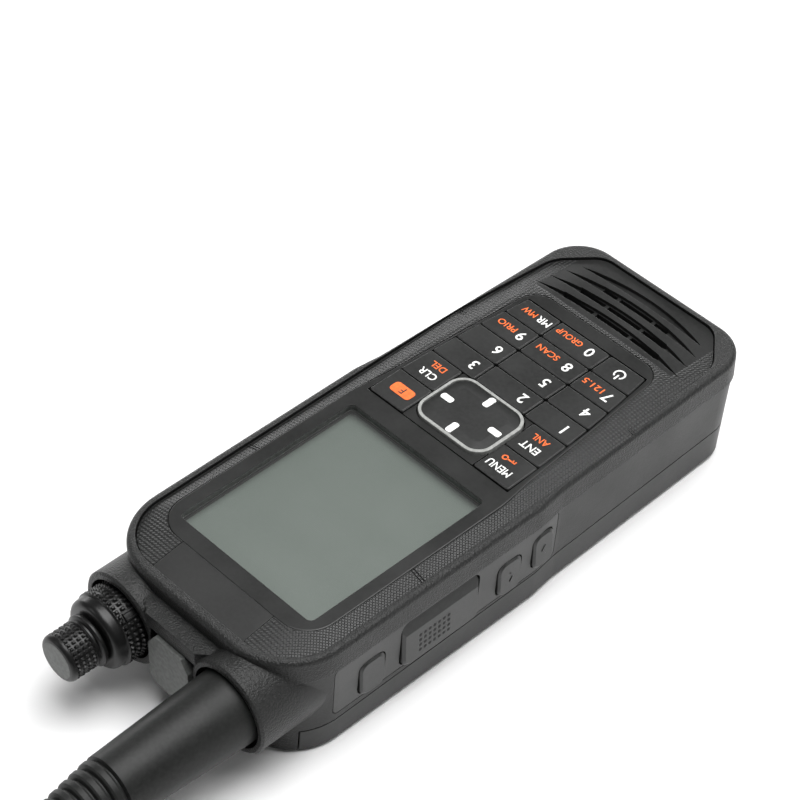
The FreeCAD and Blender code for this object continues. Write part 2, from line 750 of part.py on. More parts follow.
def nav_pad():
    """Four-way pad with a low dome on top and a step for the ring."""
    dome_foot_z = PAD_TOP_Z - PAD_DOME_HEIGHT
    skirt = plate(pad_outline(0), PAD_FOOT_Z, PAD_WEB_Z)
    top = plate(pad_outline(RING_WIDTH), PAD_WEB_Z, dome_foot_z)
    dome = tapered(pad_outline(RING_WIDTH), dome_foot_z, pad_outline(RING_WIDTH + PAD_DOME_SLOPE), PAD_TOP_Z)
    return joined([skirt, top, dome])


def nav_ring():
    ring = softened(plate(pad_outline(0), PAD_WEB_Z, RING_TOP_Z), RING_EDGE, RING_TOP_Z)
    return ring.cut(plate(pad_outline(RING_WIDTH), UNDER_FACE_Z, ALL_Z[1]))


def nav_pivot():
    """Small hub with two crossed pins, one along each line that the pad rocks about."""
    hub = rod_z(0, PAD_Y, PIVOT_RADIUS, DOME_TOP_Z + 0.05, PAD_FOOT_Z - PAD_CLEARANCE)
    across = rod_x(PAD_Y, PIVOT_Z, PIVOT_ARM_RADIUS, -PIVOT_ARM, PIVOT_ARM)
    along = rod_y(0, PIVOT_Z, PIVOT_ARM_RADIUS, PAD_Y - PIVOT_ARM, PAD_Y + PIVOT_ARM)
    return joined([hub, across, along])


def keypad_bridge():
    """Fixed strip above the direction pad, and fillers at the pad's round corners."""
    half = PAD_HALF_WIDTH + 0.1
    arm = PAD_HALF_HEIGHT - PAD_CORNER
    above = block((-half, half), (PAD_Y + arm, MENU_ROWS[0]), (PANEL_FOOT_Z, PANEL_Z))
    below = block((-half, half), (KEY_ROWS[0] + KEY_GAP / 2, PAD_Y - arm), (PANEL_FOOT_Z, PANEL_Z))
    opening = plate(pad_outline(-PAD_CLEARANCE), UNDER_FACE_Z, ALL_Z[1])
    return Part.makeCompound([above.cut(opening), below.cut(opening)])


def key_centres():
    centres = []
    for row in range(len(KEY_ROWS) - 1):
        y = sum(row_span(KEY_ROWS, row)) / 2
        centres += [(-NUMBER_DOME_X, y), (0, y), (NUMBER_DOME_X, y)]
    for row in range(len(MENU_ROWS) - 1):
        y = sum(row_span(MENU_ROWS, row)) / 2
        centres += [(-MENU_DOME_X, y), (MENU_DOME_X, y)]
    return centres


def keypad_mat():
    """Rubber sheet with one dome under each key and four under the direction pad."""
    right = [(18.0, -49.4, 2.0), (20.4, -20.0, 8.0), (21.3, -0.6, 2.0)]
    solids = [plate(mirrored(right), *MAT_Z)]
    solids += [rod_z(x, y, DOME_RADIUS, MAT_Z[0], DOME_TOP_Z) for x, y in key_centres()]
    across, along = PAD_DOME_REACH
    for x, y in ((across, 0), (-across, 0), (0, along), (0, -along)):
        solids.append(rod_z(x, PAD_Y + y, PAD_DOME_RADIUS, MAT_Z[0], DOME_TOP_Z))
    return joined(solids)


def keypad_board():
    right = [(18.6, -50.0, 2.0), (21.4, -20.0, 8.0), (21.8, 1.0, 2.0)]
    return plate(mirrored(right), KEYPAD_BOARD_Z, MAT_Z[0])


# ---- Side keys ----
def side_key_panel():
    """Rubber panel of the left wall, with an opening round each key."""
    body = side_skin(0)
    for name in SIDE_KEYS:
        body = body.cut(side_plate(side_opening(name, 0), *LEFT_X))
    return body


def side_key(name, face_x, edge):
    """Key that stands a little proud of the wall, its outer edges chamfered."""
    y, z, length, height = SIDE_KEYS[name]
    inset = SIDE_KEY_CLEARANCE + edge
    full = side_opening(name, -SIDE_KEY_CLEARANCE)
    face = rectangle(y, z, length - 2 * inset, height - 2 * inset, SIDE_KEY_CORNER - SIDE_KEY_CLEARANCE)
    stem = side_plate(full, face_x + edge, KEY_REST_X)
    crown = tapered(face, face_x, full, face_x + edge)
    crown.rotate(V(0, 0, 0), V(1, 1, 1), 120)
    return joined([stem, crown])


def small_side_key(name):
    return side_key(name, SIDE_KEY_FACE_X, SIDE_KEY_EDGE)


def ptt_button():
    """Push-to-talk key: flat lower face, slanted upper face and a field of small dimples."""
    body = side_key("ptt_button", TALK_FACE_X, TALK_EDGE)
    top_x, top_z = TALK_SLOPE_TOP
    foot = V(TALK_FACE_X - 0.05, 0, TALK_SLOPE_FOOT_Z)
    corners = [foot, V(top_x, 0, top_z), V(LEFT_X[0], 0, top_z), V(LEFT_X[0], 0, TALK_SLOPE_FOOT_Z), foot]
    body = body.cut(Part.Face(Part.makePolygon(corners)).extrude(V(0, SIDE_PANEL_Y[1], 0)))
    for column in range(DIMPLE_COUNT[0]):
        for row in range(DIMPLE_COUNT[1]):
            y = DIMPLE_MIDDLE[0] + (column - (DIMPLE_COUNT[0] - 1) / 2) * DIMPLE_PITCH[0]
            z = DIMPLE_MIDDLE[1] + (row - (DIMPLE_COUNT[1] - 1) / 2) * DIMPLE_PITCH[1]
            body = body.cut(Part.makeSphere(DIMPLE_RADIUS, V(DIMPLE_CENTRE_X, y, z)))
    return body


def side_switch_board():
    """Narrow board behind the side keys with four press switches."""
    solids = [block(SWITCH_BOARD_X, (-9.5, 48.0), (10.8, 20.6))]
    for y, _, _, _ in SIDE_KEYS.values():
        solids.append(rod_x(y, 15.2, 1.2, SWITCH_BOARD_X[0] - 0.5, SWITCH_BOARD_X[0]))
    return joined(solids)


# ---- Antenna ----
def antenna_connector():
    """Bayonet socket with two studs."""
    start, barrel_end = CONNECTOR_Y
    flange_end = TOP_WALL_IN_Y - 0.1
    neck_end = 67.0
    profile = [
        (start, CONNECTOR_FLANGE),
        (flange_end, CONNECTOR_FLANGE),
        (flange_end, CONNECTOR_THREAD - RUNNING_GAP),
        (neck_end, CONNECTOR_THREAD - RUNNING_GAP),
        (neck_end, CONNECTOR_BARREL),
        (barrel_end, CONNECTOR_BARREL),
    ]
    body = turned(ANTENNA_X, ANTENNA_Z, profile).cut(antenna_rod(CONNECTOR_BORE, 68.0, barrel_end + 1))
    centre_contact = antenna_rod(CONTACT_PIN_RADIUS, 67.5, barrel_end - 0.6)
    stud = rod_z(ANTENNA_X, STUD_Y, STUD_RADIUS, ANTENNA_Z - STUD_REACH, ANTENNA_Z + STUD_REACH)
    stud = stud.cut(antenna_rod(CONNECTOR_BORE + 0.6, 70, 80))
    return joined([body, stud, centre_contact])


def relief_ring(start, radius):
    """Profile of one strain relief ring with the groove before it."""
    groove = radius - 0.75
    return [
        (start, groove),
        (start + 0.35, groove),
        (start + 0.55, radius - 0.2),
        (start + 0.95, radius),
        (start + RING_PITCH - 0.7, radius - 0.12),
        (start + RING_PITCH - 0.3, radius - 0.4),
    ]


def antenna_base():
    """Rubber foot of the antenna, ending in a row of strain relief rings."""
    edge = 0.5
    tip_radius = ANTENNA_RADIUS - ANTENNA_TAPER * (RING_START - MOUTH_Y)
    profile = [
        (ANTENNA_FOOT_Y, ANTENNA_RADIUS - edge),
        (ANTENNA_FOOT_Y + edge, ANTENNA_RADIUS),
        (MOUTH_Y, ANTENNA_RADIUS),
        (RING_START - 0.4, tip_radius),
    ]
    for ring in range(RING_COUNT):
        profile += relief_ring(RING_START + ring * RING_PITCH, tip_radius - RING_STEP * (ring + 0.3))
    profile += [(WHIP_START - 2.0, WHIP_RADIUS + 0.3), (WHIP_START, WHIP_RADIUS + 0.1)]
    body = turned(ANTENNA_X, ANTENNA_Z, profile)
    return body.cut(antenna_rod(SOCKET_RADIUS, ANTENNA_FOOT_Y - 1, SOCKET_END))


def antenna_plug():
    """Bayonet plug inside the antenna's foot, open round the socket and its studs."""
    body = antenna_rod(SOCKET_RADIUS, ANTENNA_FOOT_Y + 0.5, SOCKET_END)
    body = body.cut(antenna_rod(STUD_REACH + 0.3, ANTENNA_FOOT_Y - 0.1, CONNECTOR_Y[1] + 0.8))
    pin = antenna_rod(0.5, CONNECTOR_Y[1] + 0.2, CONNECTOR_Y[1] + 2.0)
    return joined([body, pin])


def antenna_whip():
    """Flexible rod with its moulded tip."""
    profile = [
        (WHIP_START, WHIP_RADIUS),
        (TIP_START, WHIP_RADIUS - 0.9),
        (TIP_START, 3.9),
        (TIP_START + 0.5, 4.1),
        (ANTENNA_END - 1.6, 4.0),
        (ANTENNA_END - 0.5, 3.2),
        (ANTENNA_END, 1.8),
    ]
    return turned(ANTENNA_X, ANTENNA_Z, profile)


# ---- Knobs ----
def encoder_housing(margin):
    half = ENCODER_HALF + margin
    y_range = grown((ENCODER_BACK_Y, TOP_WALL_IN_Y - 0.2), margin)
    return block(centred(KNOB_X, half), y_range, centred(KNOB_Z, half))


def dual_encoder():
    """Twin control behind the top wall: the outer shaft tunes, the inner one sets the volume."""
    bushing = knob_rod(BUSHING_RADIUS - RUNNING_GAP, TOP_WALL_IN_Y - 0.6, 67.2)
    body = joined([encoder_housing(0), bushing])
    return body.cut(knob_rod(DIAL_SHAFT + RUNNING_GAP, ENCODER_BACK_Y + 2.0, 68.0))


def dial_shaft():
    tube = knob_rod(DIAL_SHAFT, ENCODER_BACK_Y + 2.6, 78.0)
    return tube.cut(knob_rod(VOLUME_SHAFT + RUNNING_GAP, ENCODER_BACK_Y, 79.0))


def dial_knob():
    """Tuning dial: a broad band that carries the knurl, a groove and a smooth nose."""
    profile = [
        (68.4, 7.6),
        (69.0, DIAL_RADIUS),
        (77.6, DIAL_RADIUS),
        (77.9, 8.1),
        (78.2, 8.1),
        (78.4, 8.25),
        (79.4, 8.1),
        (80.3, 7.3),
    ]
    return turned(KNOB_X, KNOB_Z, profile).cut(knob_rod(DIAL_SHAFT, 60, 90))


def volume_shaft():
    return knob_rod(VOLUME_SHAFT, ENCODER_BACK_Y + 3.5, VOLUME_SHAFT_END)


def volume_knob():
    """Volume knob: a thin flange, a groove and a knurled barrel."""
    profile = [
        (80.9, 5.6),
        (81.2, 6.1),
        (82.0, 6.1),
        (82.3, 5.2),
        (82.7, 5.2),
        (83.0, 5.55),
        (88.9, 5.5),
        (89.7, 4.9),
    ]
    return turned(KNOB_X, KNOB_Z, profile).cut(knob_rod(VOLUME_SHAFT, 60, VOLUME_SHAFT_END))


# ---- Accessory jacks ----
def jack_cover():
    """Soft cover of the two accessory jacks, hinged along its lower edge."""
    low, high = COVER_Z
    right = [
        (4.6, low, COVER_CORNER),
        (COVER_HALF_WIDTH, low + 2.4, COVER_CORNER),
        (COVER_HALF_WIDTH, high - 3.2, COVER_CORNER),
        (4.2, high, COVER_CORNER),
    ]
    notch = block((-6.0, -3.6), (COVER_Y[1] - 1.0, COVER_Y[1] + 1), (low - 1, low + 1.6))
    bead = rod_x(HINGE_Y, HINGE_Z, HINGE_RADIUS, -HINGE_HALF_LENGTH, HINGE_HALF_LENGTH)
    return joined([end_plate(mirrored(right), *COVER_Y).cut(notch), bead])


def accessory_jacks():
    """Headset and microphone sockets in one moulding."""
    outline = rectangle(0, JACK_Z, JACK_BLOCK_WIDTH - 0.1, JACK_BLOCK_HEIGHT - 0.1, 1.0)
    body = end_plate(outline, 52.5, 67.2)
    for x, radius, bottom in JACK_HOLES:
        body = body.cut(rod_y(x, JACK_Z, radius, bottom, 70))
    return body


# ---- Electronics ----
def main_board():
    """Main circuit board with its larger components, on the display's side."""
    right = [(17.0, -47.0, 1.5), (21.5, -44.0, 1.5), (21.5, 50.0, 1.5)]
    solids = [plate(mirrored(right), *BOARD_Z)]
    for x, y, width, length, height in BOARD_COMPONENTS:
        top = BOARD_Z[1] + height
        solids.append(block(centred(x, width / 2), centred(y, length / 2), (BOARD_Z[1], top)))
    return joined(solids)


def shield_can():
    """Thin metal can over the transmitter, on the battery's side of the board."""
    width, length = SHIELD_SIZE
    outer = plate(rectangle(0, SHIELD_Y, width, length, 1.5), SHIELD_LOW, BOARD_Z[0])
    inner = rectangle(0, SHIELD_Y, width - 2 * SHIELD_WALL, length - 2 * SHIELD_WALL, 1.5 - SHIELD_WALL)
    return outer.cut(plate(inner, SHIELD_LOW + SHIELD_WALL, BOARD_Z[0] + 1))


def loudspeaker():
    """Oval loudspeaker with an open dish towards the grille."""
    basket = plate(rectangle(0, SPEAKER_Y, 36.0, 17.0, 8.0), 21.0, 26.4)
    rim = plate(rectangle(0, SPEAKER_Y, 38.0, 18.6, 8.8), 26.4, 27.4)
    dish = plate(rectangle(0, SPEAKER_Y, 33.0, 14.0, 6.6), 26.0, 28.0)
    return joined([basket, rim]).cut(dish)


def speaker_cloth():
    """Fine cloth behind the openings of the grille."""
    return plate(rectangle(0, SPEAKER_Y + 0.2, 36.0, 18.0, 8.0), *CLOTH_Z)


def microphone():
    return rod_z(*MICROPHONE_PLACE, 1.5, 25.6, 27.4)


def contact_block():
    """Insulator in the chassis with its three sprung contacts."""
    fit = 0.1
    middle_y = sum(CONTACT_Y) / 2
    low = seam_z(middle_y)
    solids = [block(centred(0, CONTACT_HALF_WIDTH - fit), grown(CONTACT_Y, -fit), (low + 0.5, low + 4.5))]
    for x in CONTACT_COLUMNS:
        solids.append(block(centred(x, 1.0), centred(middle_y, 2.0), (low + 0.25, low + 0.6)))
    return joined(solids)


def case_screws():
    """Four cross-head screws through the chassis into the bosses of the case."""
    slot_half_width, slot_half_length, slot_depth = 0.2, 1.0, 0.35
    solids = []
    for x, y in SCREW_PLACES:
        seat = screw_seat(y)
        shank = rod_z(x, y, SCREW_RADIUS - 0.03, seat - 0.1, SCREW_END_Z)
        head = rod_z(x, y, SCREW_HEAD_RADIUS, seat - SCREW_HEAD_HEIGHT, seat)
        slot_z = (seat - 1, seat - SCREW_HEAD_HEIGHT + slot_depth)
        for half_x, half_y in ((slot_half_length, slot_half_width), (slot_half_width, slot_half_length)):
            head = head.cut(block(centred(x, half_x), centred(y, half_y), slot_z))
        solids.append(joined([shank, head]))
    return Part.makeCompound(solids)


# ---- Battery ----
def battery_body(extra):
    """Outside of the battery. A positive extra makes it smaller all round, without the back chamfer."""
    shape = side_walls(extra) if extra else joined([back_edge(), side_walls(0)])
    return shape.common(battery_space(-SEAM_GAP / 2, BATTERY_TOP - extra))


def latch_space(y_range):
    half = LATCH_HALF_WIDTH + LATCH_CLEARANCE
    return block((-half, half), y_range, grown(LATCH_Z, LATCH_CLEARANCE))


def battery_case():
    """Tray that forms the back of the radio."""
    floor = block(ALL_X, ALL_Y, (-1, BATTERY_WALL))
    hollow = battery_body(BATTERY_WALL)
    lid_space = below_seam(1).cut(below_seam(-SEAM_GAP / 2 - LID_THICKNESS)).common(hollow)
    body = battery_body(0).cut(hollow.cut(floor)).cut(lid_space)
    for x, y in CLIP_PLACES:
        body = joined([body, rod_z(x, y, CLIP_INSERT_RADIUS + CLIP_BOSS_WALL, BATTERY_WALL, CLIP_BOSS_TOP)])
        body = body.cut(rod_z(x, y, CLIP_INSERT_RADIUS, -1, CLIP_INSERT_TOP))
    body = body.cut(latch_space((-80, -70.2)))
    pocket_half = LATCH_HALF_WIDTH + LATCH_CLEARANCE + LATCH_WALL
    pocket = block((-pocket_half, pocket_half), (-71.5, -67.4), (BATTERY_WALL, 7.4))
    body = joined([body, pocket.common(battery_body(0.2))])
    body = body.cut(latch_space((-80, LATCH_Y[1] + LATCH_TRAVEL + 0.2)))
    for x in (-RAIL_SLOT_X, RAIL_SLOT_X):
        body = body.cut(block(centred(x, 1.0), RAIL_SLOT_Y, RAIL_SLOT_Z))
    return body


def battery_lid():
    """Inner cover of the battery, which lies against the chassis."""
    slab = below_seam(-SEAM_GAP / 2).cut(below_seam(-SEAM_GAP / 2 - LID_THICKNESS))
    body = battery_body(BATTERY_WALL + LID_FIT).common(slab)
    window = block((-8.0, 8.0), (41.5, 48.5), (0, UNDER_FACE_Z))
    return body.cut(window)


def battery_contacts():
    """Three plates on a carrier, facing the sprung contacts."""
    middle_y = sum(CONTACT_Y) / 2
    top = seam_z(middle_y) - SEAM_GAP
    solids = [block(centred(0, 7.9), centred(middle_y, 3.4), (top - 1.6, top - 0.3))]
    for x in CONTACT_COLUMNS:
        solids.append(block(centred(x, 1.6), centred(middle_y, 2.5), (top - 0.4, top - 0.1)))
    return joined(solids)


def battery_cells():
    """Two flat lithium cells, in the lower half of the battery."""
    solids = []
    for low, high in CELL_SPANS:
        solids.append(plate(rectangle(0, (low + high) / 2, CELL_WIDTH, high - low, 2.0), *CELL_Z))
    return Part.makeCompound(solids)


def clip_inserts():
    """Threaded brass inserts for a belt clip."""
    solids = []
    for x, y in CLIP_PLACES:
        insert = rod_z(x, y, CLIP_INSERT_RADIUS - 0.02, 0.2, CLIP_INSERT_TOP)
        solids.append(insert.cut(rod_z(x, y, CLIP_HOLE_RADIUS, 0, CLIP_BOSS_TOP)))
    return Part.makeCompound(solids)


def battery_latch():
    """Release slide in the bottom end of the battery, with finger ribs."""
    solids = [block(centred(0, LATCH_HALF_WIDTH), LATCH_Y, LATCH_Z)]
    for x in (-4, -2, 0, 2, 4):
        solids.append(block(centred(x, 0.4), (LATCH_Y[0] - 0.4, LATCH_Y[0] + 0.8), grown(LATCH_Z, -0.5)))
    return joined(solids)


def build_nodes():
    """Every sub-part by name."""
    nodes = {
        "front_case": front_case(),
        "rear_chassis": rear_chassis(),
        "bezel_frame": bezel_frame(),
        "nameplate": nameplate(),
        "front_panel": front_panel(),
        "keypad_bridge": keypad_bridge(),
        "display_window": display_window(),
        "lcd_module": lcd_module(),
        "lcd_holder": lcd_holder(),
        "nav_pad": nav_pad(),
        "nav_ring": nav_ring(),
        "nav_pivot": nav_pivot(),
        "key_menu": menu_key(-1, 0),
        "key_enter": menu_key(-1, 1),
        "key_function": menu_key(1, 0),
        "key_clear": menu_key(1, 1),
        "keypad_mat": keypad_mat(),
        "keypad_board": keypad_board(),
        "side_key_panel": side_key_panel(),
        "light_button": small_side_key("light_button"),
        "ptt_button": ptt_button(),
        "side_key_down": small_side_key("side_key_down"),
        "side_key_up": small_side_key("side_key_up"),
        "side_switch_board": side_switch_board(),
        "antenna_connector": antenna_connector(),
        "antenna_base": antenna_base(),
        "antenna_plug": antenna_plug(),
        "antenna_whip": antenna_whip(),
        "dual_encoder": dual_encoder(),
        "dial_shaft": dial_shaft(),
        "dial_knob": dial_knob(),
        "volume_shaft": volume_shaft(),
        "volume_knob": volume_knob(),
        "jack_cover": jack_cover(),
        "accessory_jacks": accessory_jacks(),
        "main_board": main_board(),
        "shield_can": shield_can(),
        "loudspeaker": loudspeaker(),
        "speaker_cloth": speaker_cloth(),
        "microphone": microphone(),
        "contact_block": contact_block(),
        "case_screws": case_screws(),
        "battery_case": battery_case(),
        "battery_lid": battery_lid(),
        "battery_contacts": battery_contacts(),
        "battery_cells": battery_cells(),
        "battery_latch": battery_latch(),
        "clip_inserts": clip_inserts(),
    }
    nodes.update(number_keys())
    return nodes


os.makedirs("parts", exist_ok=True)
for node_name, shape in build_nodes().items():
    print(node_name, len(shape.Solids), "valid" if shape.isValid() else "NOT VALID", round(shape.Volume, 1))
    shape.exportStep("parts/" + node_name + ".step")
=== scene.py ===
import json
import math

import bmesh
import bpy
from mathutils import Matrix, Vector

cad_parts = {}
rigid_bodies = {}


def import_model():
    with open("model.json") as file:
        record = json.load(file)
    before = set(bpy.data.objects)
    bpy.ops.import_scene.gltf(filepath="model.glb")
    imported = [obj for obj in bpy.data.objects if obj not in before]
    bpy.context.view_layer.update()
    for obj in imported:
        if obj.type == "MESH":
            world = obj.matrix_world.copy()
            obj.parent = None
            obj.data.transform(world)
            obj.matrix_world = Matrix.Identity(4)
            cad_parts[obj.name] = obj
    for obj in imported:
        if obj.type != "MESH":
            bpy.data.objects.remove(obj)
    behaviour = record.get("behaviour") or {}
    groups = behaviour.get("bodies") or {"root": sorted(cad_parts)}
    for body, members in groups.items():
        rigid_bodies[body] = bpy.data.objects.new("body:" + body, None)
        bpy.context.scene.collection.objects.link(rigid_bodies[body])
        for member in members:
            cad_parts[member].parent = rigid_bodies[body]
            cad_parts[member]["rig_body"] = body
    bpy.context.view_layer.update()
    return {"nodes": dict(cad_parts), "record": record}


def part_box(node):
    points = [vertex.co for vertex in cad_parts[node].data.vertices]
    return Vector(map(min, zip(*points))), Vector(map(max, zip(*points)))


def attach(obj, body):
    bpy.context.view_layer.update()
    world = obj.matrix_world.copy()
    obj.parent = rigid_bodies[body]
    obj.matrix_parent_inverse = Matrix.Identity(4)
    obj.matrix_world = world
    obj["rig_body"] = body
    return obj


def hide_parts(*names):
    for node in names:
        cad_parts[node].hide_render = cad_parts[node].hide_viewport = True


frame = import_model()

# Handheld aviation radio. Everything is in metres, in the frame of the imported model:
# +Z out of the face, +Y towards the antenna, +X to the right seen from the front.

MM = 0.001

# ---- Camera, light and floor ----
CAMERA_PLACE = (-0.30198, 0.29989, 0.45333)
CAMERA_AZIMUTH = -133.916        # degrees
CAMERA_ELEVATION = 43.905
CAMERA_ROLL = 0.656
CAMERA_LENS = 126.086            # mm, on a 36 mm sensor
FLOOR_SIZE = 8.0
WORLD_STRENGTH = 0.10
LIGHTS = (                       # (name, place, aimed at, width, height, power)
    ("overhead_softbox", (-0.16, -0.20, 1.30), (0.0, 0.0, 0.0), 1.15, 1.15, 30.0),
    ("far_backdrop", (0.95, -0.75, 0.20), (0.0, 0.0, 0.05), 1.7, 0.36, 8.0),
    ("top_end_strip", (0.95, 1.25, 0.90), (0.0, 0.0, 0.03), 0.4, 0.14, 2.0),
    ("side_strip", (-1.0, -0.78, 0.75), (0.0, 0.0, 0.03), 0.4, 0.12, 1.2),
)

# ---- Legends ----
WHITE_HEIGHT = 2.9 * MM          # the large numerals
WORD_HEIGHT = 2.05 * MM
SMALL_HEIGHT = 1.75 * MM
PRINT_THICKNESS = 0.03 * MM


# ---- Node helpers ----
def add_node(tree, kind, **settings):
    node = tree.nodes.new(kind)
    for name, value in settings.items():
        setattr(node, name, value)
    return node


def math_node(tree, operation, first, second=None, third=None):
    node = add_node(tree, "ShaderNodeMath", operation=operation)
    for index, value in enumerate((first, second, third)):
        if value is None:
            continue
        if isinstance(value, (int, float)):
            node.inputs[index].default_value = value
        else:
            tree.links.new(value, node.inputs[index])
    return node.outputs[0]


def span(tree, value, low, high, to_low=0.0, to_high=1.0):
    """Value carried from one range to another, and held at its ends."""
    node = add_node(tree, "ShaderNodeMapRange")
    tree.links.new(value, node.inputs["Value"])
    for name, number in (("From Min", low), ("From Max", high), ("To Min", to_low), ("To Max", to_high)):
        node.inputs[name].default_value = number
    return node.outputs["Result"]


def mixed_colour(tree, factor, first, second):
    node = add_node(tree, "ShaderNodeMix", data_type="RGBA")
    tree.links.new(factor, node.inputs[0])
    for socket, value in ((node.inputs[6], first), (node.inputs[7], second)):
        if isinstance(value, tuple):
            socket.default_value = (*value, 1.0)
        else:
            tree.links.new(value, socket)
    return node.outputs[2]


def noise(tree, coordinates, feature_size, detail=2.0):
    """Noise whose features are about the given size in metres."""
    node = add_node(tree, "ShaderNodeTexNoise")
    node.inputs["Scale"].default_value = 1.0 / feature_size
    node.inputs["Detail"].default_value = detail
    tree.links.new(coordinates, node.inputs["Vector"])
    return node.outputs["Fac"]


def shade(colour, share):
    return tuple(min(channel * share, 1.0) for channel in colour)


class Finish:
    """One material: colour with drift, edges lightened in patches as wear and painted highlight, roughness
    with drift, and a bump made of several heights.
    """

    def __init__(self, name, colour, roughness, metallic=0.0, drift=0.12, wear=0.5, bevel=0.2 * MM,
                 flecks=0.35, specular=0.5):
        self.material = bpy.data.materials.new(name)
        self.material.use_nodes = True
        self.tree = self.material.node_tree
        self.shader = self.tree.nodes["Principled BSDF"]
        self.shader.inputs["Metallic"].default_value = metallic
        self.shader.inputs["Specular IOR Level"].default_value = specular
        self.place = add_node(self.tree, "ShaderNodeTexCoord").outputs["Object"]
        self.heights = []
        cloud = noise(self.tree, self.place, 14 * MM, 3.0)
        fleck = noise(self.tree, self.place, 0.9 * MM, 2.0)
        base = mixed_colour(self.tree, span(self.tree, cloud, 0.3, 0.7), shade(colour, 1 - drift),
                            shade(colour, 1 + drift))
        speckle = span(self.tree, fleck, 0.35, 0.65, 0.0, 1.0)
        base = mixed_colour(self.tree, speckle, base, shade(colour, 1 + flecks))
        rough = span(self.tree, cloud, 0.3, 0.7, roughness - 0.04, roughness + 0.04)
        self.normal = None
        if bevel:
            rounded = add_node(self.tree, "ShaderNodeBevel", samples=4)
            rounded.inputs["Radius"].default_value = bevel
            self.normal = rounded.outputs["Normal"]
            if wear:
                # Lighter colour where the rounded normal turns from the flat one: partly edge wear, partly a
                # painted highlight on the edges.
                flat = add_node(self.tree, "ShaderNodeNewGeometry").outputs["True Normal"]
                facing = add_node(self.tree, "ShaderNodeVectorMath", operation="DOT_PRODUCT")
                self.tree.links.new(self.normal, facing.inputs[0])
                self.tree.links.new(flat, facing.inputs[1])
                edge = span(self.tree, facing.outputs["Value"], 0.99, 0.80)
                wear_and_highlight_patches = span(self.tree, fleck, 0.3, 0.7, 0.2, 1.0)
                patchy_wear_and_highlight = math_node(self.tree, "MULTIPLY", edge, wear_and_highlight_patches)
                base = mixed_colour(self.tree, patchy_wear_and_highlight, base, shade(colour, 1 + wear))
        self.tree.links.new(base, self.shader.inputs["Base Color"])
        self.tree.links.new(rough, self.shader.inputs["Roughness"])

    def coordinate(self, axis):
        split = add_node(self.tree, "ShaderNodeSeparateXYZ")
        self.tree.links.new(self.place, split.inputs[0])
        return split.outputs[axis]

    def grain(self, feature_size, height, detail=2.0, contrast=0.0, mask=None):
        """Speckle in the surface. Contrast from 0 to 1 sharpens it into separate grains."""
        value = noise(self.tree, self.place, feature_size, detail)
        if contrast:
            value = span(self.tree, value, 0.5 * contrast, 1 - 0.5 * contrast)
        if mask is not None:
            value = math_node(self.tree, "MULTIPLY", value, mask)
        self.heights.append(math_node(self.tree, "MULTIPLY", value, height))
        return self

    def add_height(self, value, height):
        self.heights.append(math_node(self.tree, "MULTIPLY", value, height))
        return self

    def done(self):
        if self.heights:
            total = self.heights[0]
            for value in self.heights[1:]:
                total = math_node(self.tree, "ADD", total, value)
            bump = add_node(self.tree, "ShaderNodeBump")
            bump.inputs["Strength"].default_value = 1.0
            bump.inputs["Distance"].default_value = 1.0
            self.tree.links.new(total, bump.inputs["Height"])
            if self.normal is not None:
                self.tree.links.new(self.normal, bump.inputs["Normal"])
            self.tree.links.new(bump.outputs["Normal"], self.shader.inputs["Normal"])
        elif self.normal is not None:
            self.tree.links.new(self.normal, self.shader.inputs["Normal"])
        return self.material


# ---- Finishes ----
BLACK = (0.0095, 0.0098, 0.0094)


def case_plastic():
    """Spark-eroded rim and top end over smoother side walls."""
    finish = Finish("case_plastic", (0.011, 0.0113, 0.011), 0.42, wear=0.8, bevel=0.3 * MM, specular=0.33)
    height = span(finish.tree, finish.coordinate("Z"), 23.6 * MM, 24.4 * MM, 0.12, 1.0)
    top_end = span(finish.tree, finish.coordinate("Y"), 60 * MM, 64 * MM, 0.12, 1.0)
    mask = math_node(finish.tree, "MAXIMUM", height, top_end)
    finish.grain(0.42 * MM, 0.15 * MM, 2.0, 0.4, mask)
    finish.grain(1.1 * MM, 0.02 * MM, 2.0)
    return finish.done()


def frame_plastic():
    """Fine diamond texture on the sloping band, plain satin round the grille."""
    pitch = 0.85 * MM
    finish = Finish("frame_plastic", (0.012, 0.0123, 0.012), 0.36, wear=0.7, bevel=0.18 * MM, specular=0.4)
    tree = finish.tree
    waves = []
    for axis in ("X", "Y"):
        phase = math_node(tree, "MULTIPLY", finish.coordinate(axis), math.tau / pitch)
        waves.append(math_node(tree, "COSINE", phase))
    diamonds = span(tree, math_node(tree, "SUBTRACT", waves[0], waves[1]), -0.9, 0.9)
    beside = math_node(tree, "ABSOLUTE", finish.coordinate("X"))
    upper = span(tree, finish.coordinate("Y"), -53.5 * MM, -52.5 * MM)
    outer = span(tree, beside, 20.6 * MM, 21.2 * MM)
    mask = math_node(tree, "MAXIMUM", upper, outer)
    finish.add_height(math_node(tree, "MULTIPLY", diamonds, mask), 0.14 * MM)
    finish.grain(0.3 * MM, 0.012 * MM)
    return finish.done()


def satin(name, colour, roughness, grain_height=0.008, feature=0.35, **settings):
    finish = Finish(name, colour, roughness, **settings)
    finish.grain(feature * MM, grain_height * MM, 3.0)
    finish.grain(4 * MM, grain_height * 2 * MM, 1.0)
    return finish.done()


def window_clear():
    material = bpy.data.materials.new("window")
    material.use_nodes = True
    shader = material.node_tree.nodes["Principled BSDF"]
    coordinates = add_node(material.node_tree, "ShaderNodeTexCoord").outputs["Object"]
    smear = noise(material.node_tree, coordinates, 9 * MM, 3.0)
    shader.inputs["Base Color"].default_value = (0.9, 0.92, 0.9, 1.0)
    shader.inputs["Alpha"].default_value = 0.03
    roughness = span(material.node_tree, smear, 0.3, 0.7, 0.03, 0.09)
    material.node_tree.links.new(roughness, shader.inputs["Roughness"])
    return material


